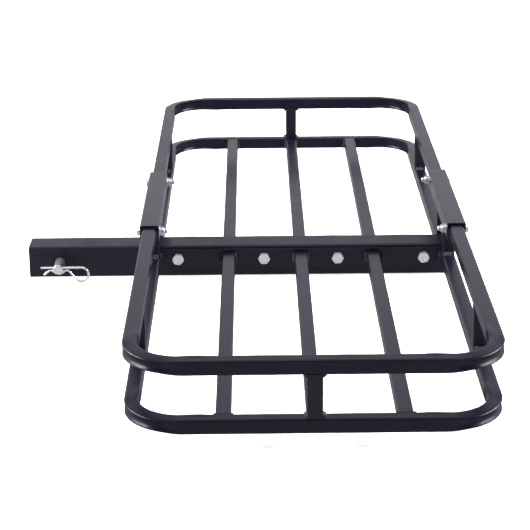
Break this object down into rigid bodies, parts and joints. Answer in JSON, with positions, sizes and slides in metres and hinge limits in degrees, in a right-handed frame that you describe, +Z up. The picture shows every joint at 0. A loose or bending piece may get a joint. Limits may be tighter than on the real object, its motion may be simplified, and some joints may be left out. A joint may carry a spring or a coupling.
{
  "type": "hitch cargo carrier",
  "caption": "Steel basket of square tube with two-level rails and floor slats, bolted across a square drawbar that slides into a hitch receiver and is held by a bent pin and a spring clip.",
  "frame": {"origin": "on the drawbar's underside, in the middle of the basket", "axes": "+X to the rear of the vehicle, along the drawbar, +Y to the vehicle's right, along the basket's long side, +Z up"},
  "size_m": [0.6911, 1.346, 0.1249],
  "materials": {
    "powder_coat": "satin black powder coat on steel",
    "zinc_plate": "bright zinc plate on steel",
    "zinc_wire": "bright zinc plate on spring wire"
  },
  "bodies": {
    "carrier": {"drawbar": "powder_coat", "left_mounting_plate": "powder_coat", "left_lower_rail": "powder_coat", "left_upper_rail": "powder_coat", "left_front_slat": "powder_coat", "left_middle_slat": "powder_coat", "left_rear_slat": "powder_coat", "left_end_post": "powder_coat", "left_front_inner_post": "powder_coat", "left_front_outer_post": "powder_coat", "left_rear_inner_post": "powder_coat", "left_rear_outer_post": "powder_coat", "right_mounting_plate": "powder_coat", "right_lower_rail": "powder_coat", "right_upper_rail": "powder_coat", "right_front_slat": "powder_coat", "right_middle_slat": "powder_coat", "right_rear_slat": "powder_coat", "right_end_post": "powder_coat", "right_front_inner_post": "powder_coat", "right_front_outer_post": "powder_coat", "right_rear_inner_post": "powder_coat", "right_rear_outer_post": "powder_coat", "front_sleeve": "powder_coat", "rear_sleeve": "powder_coat", "frame_bolt_1": "zinc_plate", "frame_spring_washer_1": "zinc_plate", "frame_nut_1": "zinc_plate", "frame_bolt_2": "zinc_plate", "frame_spring_washer_2": "zinc_plate", "frame_nut_2": "zinc_plate", "frame_bolt_3": "zinc_plate", "frame_spring_washer_3": "zinc_plate", "frame_nut_3": "zinc_plate", "frame_bolt_4": "zinc_plate", "frame_spring_washer_4": "zinc_plate", "frame_nut_4": "zinc_plate", "front_left_sleeve_bolt": "zinc_plate", "front_left_sleeve_washer": "zinc_plate", "front_left_sleeve_nut": "zinc_plate", "front_right_sleeve_bolt": "zinc_plate", "front_right_sleeve_washer": "zinc_plate", "front_right_sleeve_nut": "zinc_plate", "rear_left_sleeve_bolt": "zinc_plate", "rear_left_sleeve_washer": "zinc_plate", "rear_left_sleeve_nut": "zinc_plate", "rear_right_sleeve_bolt": "zinc_plate", "rear_right_sleeve_washer": "zinc_plate", "rear_right_sleeve_nut": "zinc_plate"},
    "pin": {"hitch_pin": "zinc_plate"},
    "clip": {"spring_clip": "zinc_wire"}
  },
  "joints": [
    {"name": "pin_slide", "type": "slide", "parent": "carrier", "child": "pin", "axis": [0, 1, 0], "range_m": [0, 0.024]},
    {"name": "clip_pull", "type": "slide", "parent": "pin", "child": "clip", "axis": [1, 0, 0], "range_m": [0, 0.038], "deforming": ["spring_clip"]}
  ]
}
